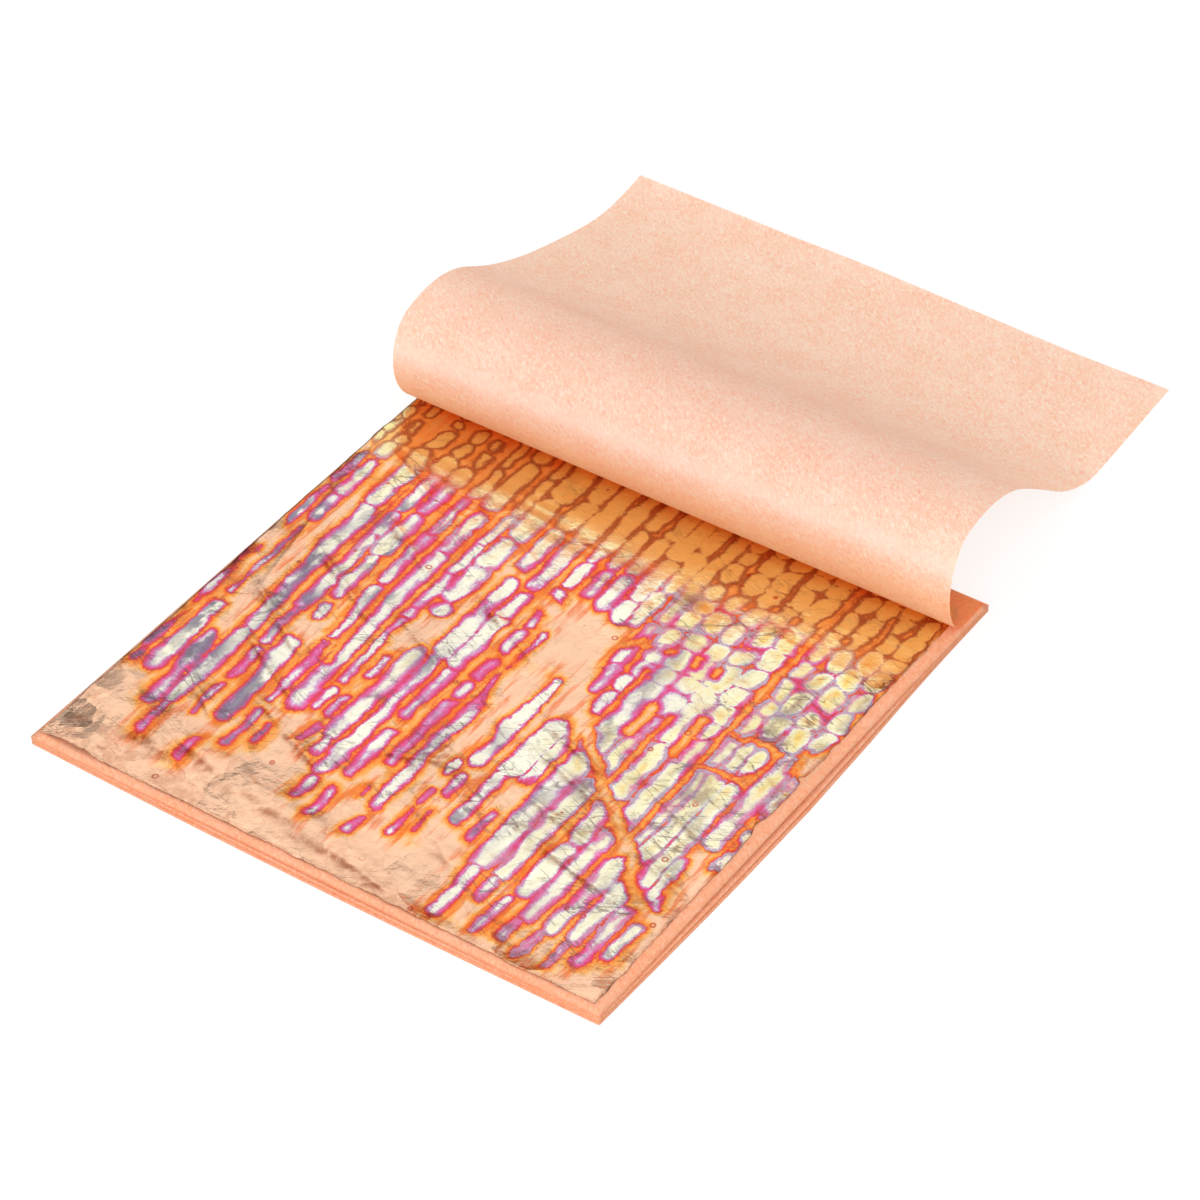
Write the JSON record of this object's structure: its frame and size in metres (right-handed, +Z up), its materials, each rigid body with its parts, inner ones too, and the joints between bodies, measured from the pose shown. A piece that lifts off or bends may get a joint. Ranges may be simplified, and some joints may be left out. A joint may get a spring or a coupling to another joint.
{
  "type": "gold leaf booklet",
  "caption": "Booklet of variegated metal leaf between glued tissue pages, with the top tissue rolled back over the bound edge to show the first leaf.",
  "frame": {"origin": "middle of the booklet's underside, where it rests", "axes": "+X to the right along the bound edge, +Y from the open front edge to the bound back edge, +Z up out of the stack"},
  "size_m": [0.144, 0.2297, 0.0272],
  "materials": {
    "tissue_paper": "matte",
    "metal_leaf": "satin",
    "padding_glue": "satin"
  },
  "bodies": {
    "booklet": {"binding_glue": "padding_glue", "tissue_26": "tissue_paper", "tissue_25": "tissue_paper", "tissue_24": "tissue_paper", "tissue_23": "tissue_paper", "tissue_22": "tissue_paper", "tissue_21": "tissue_paper", "tissue_20": "tissue_paper", "tissue_19": "tissue_paper", "tissue_18": "tissue_paper", "tissue_17": "tissue_paper", "tissue_16": "tissue_paper", "tissue_15": "tissue_paper", "tissue_14": "tissue_paper", "tissue_13": "tissue_paper", "tissue_12": "tissue_paper", "tissue_11": "tissue_paper", "tissue_10": "tissue_paper", "tissue_09": "tissue_paper", "tissue_08": "tissue_paper", "tissue_07": "tissue_paper", "tissue_06": "tissue_paper", "tissue_05": "tissue_paper", "tissue_04": "tissue_paper", "tissue_03": "tissue_paper", "tissue_02": "tissue_paper", "leaf_25": "metal_leaf", "leaf_24": "metal_leaf", "leaf_23": "metal_leaf", "leaf_22": "metal_leaf", "leaf_21": "metal_leaf", "leaf_20": "metal_leaf", "leaf_19": "metal_leaf", "leaf_18": "metal_leaf", "leaf_17": "metal_leaf", "leaf_16": "metal_leaf", "leaf_15": "metal_leaf", "leaf_14": "metal_leaf", "leaf_13": "metal_leaf", "leaf_12": "metal_leaf", "leaf_11": "metal_leaf", "leaf_10": "metal_leaf", "leaf_09": "metal_leaf", "leaf_08": "metal_leaf", "leaf_07": "metal_leaf", "leaf_06": "metal_leaf", "leaf_05": "metal_leaf", "leaf_04": "metal_leaf", "leaf_03": "metal_leaf", "leaf_02": "metal_leaf", "tissue_01_root": "tissue_paper"},
    "leaf_01": {"leaf_01": "metal_leaf"},
    "tissue_fold_1": {"tissue_01_fold_1": "tissue_paper"},
    "tissue_fold_2": {"tissue_01_fold_2": "tissue_paper"},
    "tissue_fold_3": {"tissue_01_fold_3": "tissue_paper"},
    "tissue_fold_4": {"tissue_01_fold_4": "tissue_paper"},
    "tissue_fold_5": {"tissue_01_fold_5": "tissue_paper"},
    "tissue_slope": {"tissue_01_slope": "tissue_paper"},
    "tissue_free_end": {"tissue_01_free_end": "tissue_paper"}
  },
  "joints": [
    {"name": "turn_tissue", "type": "hinge", "parent": "booklet", "child": "tissue_fold_1", "pos_m": [0, 0.06115, 0.00257], "axis": [1, 0, 0], "range_deg": [0, 50.93]},
    {"name": "unroll_fold_2", "type": "hinge", "parent": "tissue_fold_1", "child": "tissue_fold_2", "pos_m": [0, 0.05685, 0.00916], "axis": [1, 0, 0], "range_deg": [0, 32.84]},
    {"name": "unroll_fold_3", "type": "hinge", "parent": "tissue_fold_2", "child": "tissue_fold_3", "pos_m": [0, 0.05633, 0.01804], "axis": [1, 0, 0], "range_deg": [0, 31.71]},
    {"name": "unroll_fold_4", "type": "hinge", "parent": "tissue_fold_3", "child": "tissue_fold_4", "pos_m": [0, 0.05992, 0.02501], "axis": [1, 0, 0], "range_deg": [0, 47.3]},
    {"name": "unroll_fold_5", "type": "hinge", "parent": "tissue_fold_4", "child": "tissue_fold_5", "pos_m": [0, 0.06753, 0.02712], "axis": [1, 0, 0], "range_deg": [0, 22.64]},
    {"name": "unroll_slope", "type": "hinge", "parent": "tissue_fold_5", "child": "tissue_slope", "pos_m": [0, 0.07936, 0.02564], "axis": [1, 0, 0], "range_deg": [0, 22.36]},
    {"name": "unroll_free_end", "type": "hinge", "parent": "tissue_slope", "child": "tissue_free_end", "pos_m": [0, 0.11618, 0.00571], "axis": [-1, 0, 0], "range_deg": [0, 20.43]},
    {"name": "slide_leaf", "type": "slide", "parent": "booklet", "child": "leaf_01", "axis": [0, -1, 0], "range_m": [0, 0.15]}
  ],
  "couplings": [
    {"joint": "turn_tissue", "follows": "unroll_free_end", "ratio": 2.4903},
    {"joint": "unroll_fold_2", "follows": "unroll_free_end", "ratio": 1.605},
    {"joint": "unroll_fold_3", "follows": "unroll_free_end", "ratio": 1.5495},
    {"joint": "unroll_fold_4", "follows": "unroll_free_end", "ratio": 2.3127},
    {"joint": "unroll_fold_5", "follows": "unroll_free_end", "ratio": 1.1055},
    {"joint": "unroll_slope", "follows": "unroll_free_end", "ratio": 1.0918}
  ]
}
